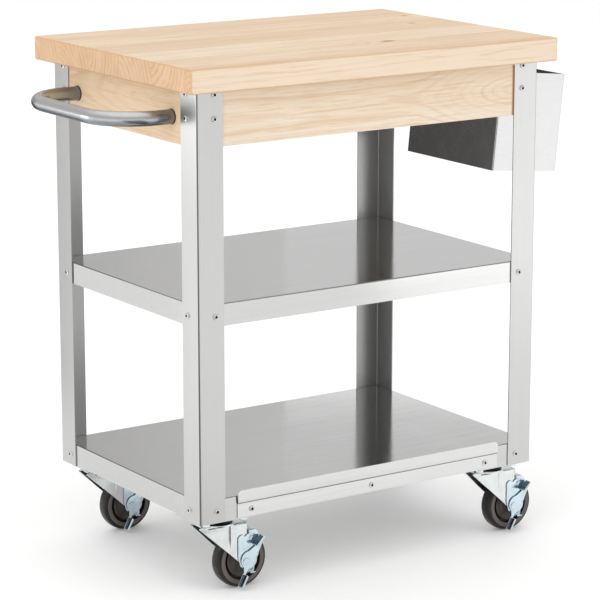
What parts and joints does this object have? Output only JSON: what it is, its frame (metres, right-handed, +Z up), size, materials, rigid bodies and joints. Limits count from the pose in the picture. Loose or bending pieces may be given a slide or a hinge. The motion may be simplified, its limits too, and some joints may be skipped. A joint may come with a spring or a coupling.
{
  "type": "work cart",
  "caption": "Rolling work cart with a thick wood top, bent steel legs, pan shelves, a push handle, a hung side bin and braked swivel casters.",
  "frame": {"origin": "on the floor, under the middle of the whole cart with its handle and bin", "axes": "+X right along the long side from the push handle to the bin, +Y to the back, +Z up"},
  "size_m": [0.9894, 0.535, 0.92],
  "materials": {
    "wood": "oiled pale hardwood, long planks",
    "stainless_sheet": "brushed stainless sheet",
    "zinc_plated_steel": "bright zinc plate",
    "screw_steel": "bright steel",
    "wheel_rubber": "dark grey moulded rubber"
  },
  "bodies": {
    "cart": {"apron_screws": "screw_steel", "bin_hanger": "stainless_sheet", "caster_bolts": "zinc_plated_steel", "caster_gusset_front_left": "stainless_sheet", "caster_gusset_front_right": "stainless_sheet", "caster_gusset_rear_left": "stainless_sheet", "caster_gusset_rear_right": "stainless_sheet", "caster_plate_front_left": "zinc_plated_steel", "caster_plate_front_right": "zinc_plated_steel", "caster_plate_rear_left": "zinc_plated_steel", "caster_plate_rear_right": "zinc_plated_steel", "cleat_screws": "screw_steel", "front_apron": "wood", "front_lip": "stainless_sheet", "front_top_cleat": "wood", "handle_bolts": "screw_steel", "hanger_screws": "screw_steel", "kingpins": "zinc_plated_steel", "left_apron": "wood", "leg_front_left": "stainless_sheet", "leg_front_right": "stainless_sheet", "leg_rear_left": "stainless_sheet", "leg_rear_right": "stainless_sheet", "lip_screws": "screw_steel", "lower_shelf": "stainless_sheet", "lower_shelf_screws": "screw_steel", "middle_shelf": "stainless_sheet", "middle_shelf_screws": "screw_steel", "push_handle": "stainless_sheet", "rear_apron": "wood", "rear_top_cleat": "wood", "right_apron": "wood", "top_screws": "screw_steel", "wood_top": "wood"},
    "swivel_front_left": {"fork_front_left": "zinc_plated_steel", "brake_bracket_front_left": "zinc_plated_steel", "axle_bolt_front_left": "zinc_plated_steel"},
    "rolling_wheel_front_left": {"wheel_front_left": "wheel_rubber", "wheel_bush_front_left": "zinc_plated_steel"},
    "brake_front_left": {"brake_lever_front_left": "zinc_plated_steel"},
    "swivel_front_right": {"fork_front_right": "zinc_plated_steel", "brake_bracket_front_right": "zinc_plated_steel", "axle_bolt_front_right": "zinc_plated_steel"},
    "rolling_wheel_front_right": {"wheel_front_right": "wheel_rubber", "wheel_bush_front_right": "zinc_plated_steel"},
    "brake_front_right": {"brake_lever_front_right": "zinc_plated_steel"},
    "swivel_rear_left": {"fork_rear_left": "zinc_plated_steel", "brake_bracket_rear_left": "zinc_plated_steel", "axle_bolt_rear_left": "zinc_plated_steel"},
    "rolling_wheel_rear_left": {"wheel_rear_left": "wheel_rubber", "wheel_bush_rear_left": "zinc_plated_steel"},
    "brake_rear_left": {"brake_lever_rear_left": "zinc_plated_steel"},
    "swivel_rear_right": {"fork_rear_right": "zinc_plated_steel", "brake_bracket_rear_right": "zinc_plated_steel", "axle_bolt_rear_right": "zinc_plated_steel"},
    "rolling_wheel_rear_right": {"wheel_rear_right": "wheel_rubber", "wheel_bush_rear_right": "zinc_plated_steel"},
    "brake_rear_right": {"brake_lever_rear_right": "zinc_plated_steel"},
    "lift_off_bin": {"bin": "stainless_sheet"}
  },
  "joints": [
    {"name": "bin_lift", "type": "slide", "parent": "cart", "child": "lift_off_bin", "axis": [0.1028, 0, 0.9947], "range_m": [0, 0.025]},
    {"name": "swivel_front_left", "type": "hinge", "parent": "cart", "child": "swivel_front_left", "pos_m": [-0.3088, -0.1966, 0.1245], "axis": [0, 0, 1], "continuous": true},
    {"name": "wheel_roll_front_left", "type": "hinge", "parent": "swivel_front_left", "child": "rolling_wheel_front_left", "pos_m": [-0.2655, -0.1966, 0.05], "axis": [0, 1, 0], "continuous": true},
    {"name": "brake_pedal_front_left", "type": "hinge", "parent": "swivel_front_left", "child": "brake_front_left", "pos_m": [-0.2655, -0.1966, 0.05], "axis": [0, 1, 0], "range_deg": [0, 25]},
    {"name": "swivel_front_right", "type": "hinge", "parent": "cart", "child": "swivel_front_right", "pos_m": [0.2778, -0.1966, 0.1245], "axis": [0, 0, 1], "continuous": true},
    {"name": "wheel_roll_front_right", "type": "hinge", "parent": "swivel_front_right", "child": "rolling_wheel_front_right", "pos_m": [0.3211, -0.1966, 0.05], "axis": [0, 1, 0], "continuous": true},
    {"name": "brake_pedal_front_right", "type": "hinge", "parent": "swivel_front_right", "child": "brake_front_right", "pos_m": [0.3211, -0.1966, 0.05], "axis": [0, 1, 0], "range_deg": [0, 25]},
    {"name": "swivel_rear_left", "type": "hinge", "parent": "cart", "child": "swivel_rear_left", "pos_m": [-0.3088, 0.1966, 0.1245], "axis": [0, 0, 1], "continuous": true},
    {"name": "wheel_roll_rear_left", "type": "hinge", "parent": "swivel_rear_left", "child": "rolling_wheel_rear_left", "pos_m": [-0.2655, 0.1966, 0.05], "axis": [0, 1, 0], "continuous": true},
    {"name": "brake_pedal_rear_left", "type": "hinge", "parent": "swivel_rear_left", "child": "brake_rear_left", "pos_m": [-0.2655, 0.1966, 0.05], "axis": [0, 1, 0], "range_deg": [0, 25]},
    {"name": "swivel_rear_right", "type": "hinge", "parent": "cart", "child": "swivel_rear_right", "pos_m": [0.2778, 0.1966, 0.1245], "axis": [0, 0, 1], "continuous": true},
    {"name": "wheel_roll_rear_right", "type": "hinge", "parent": "swivel_rear_right", "child": "rolling_wheel_rear_right", "pos_m": [0.3211, 0.1966, 0.05], "axis": [0, 1, 0], "continuous": true},
    {"name": "brake_pedal_rear_right", "type": "hinge", "parent": "swivel_rear_right", "child": "brake_rear_right", "pos_m": [0.3211, 0.1966, 0.05], "axis": [0, 1, 0], "range_deg": [0, 25]}
  ]
}
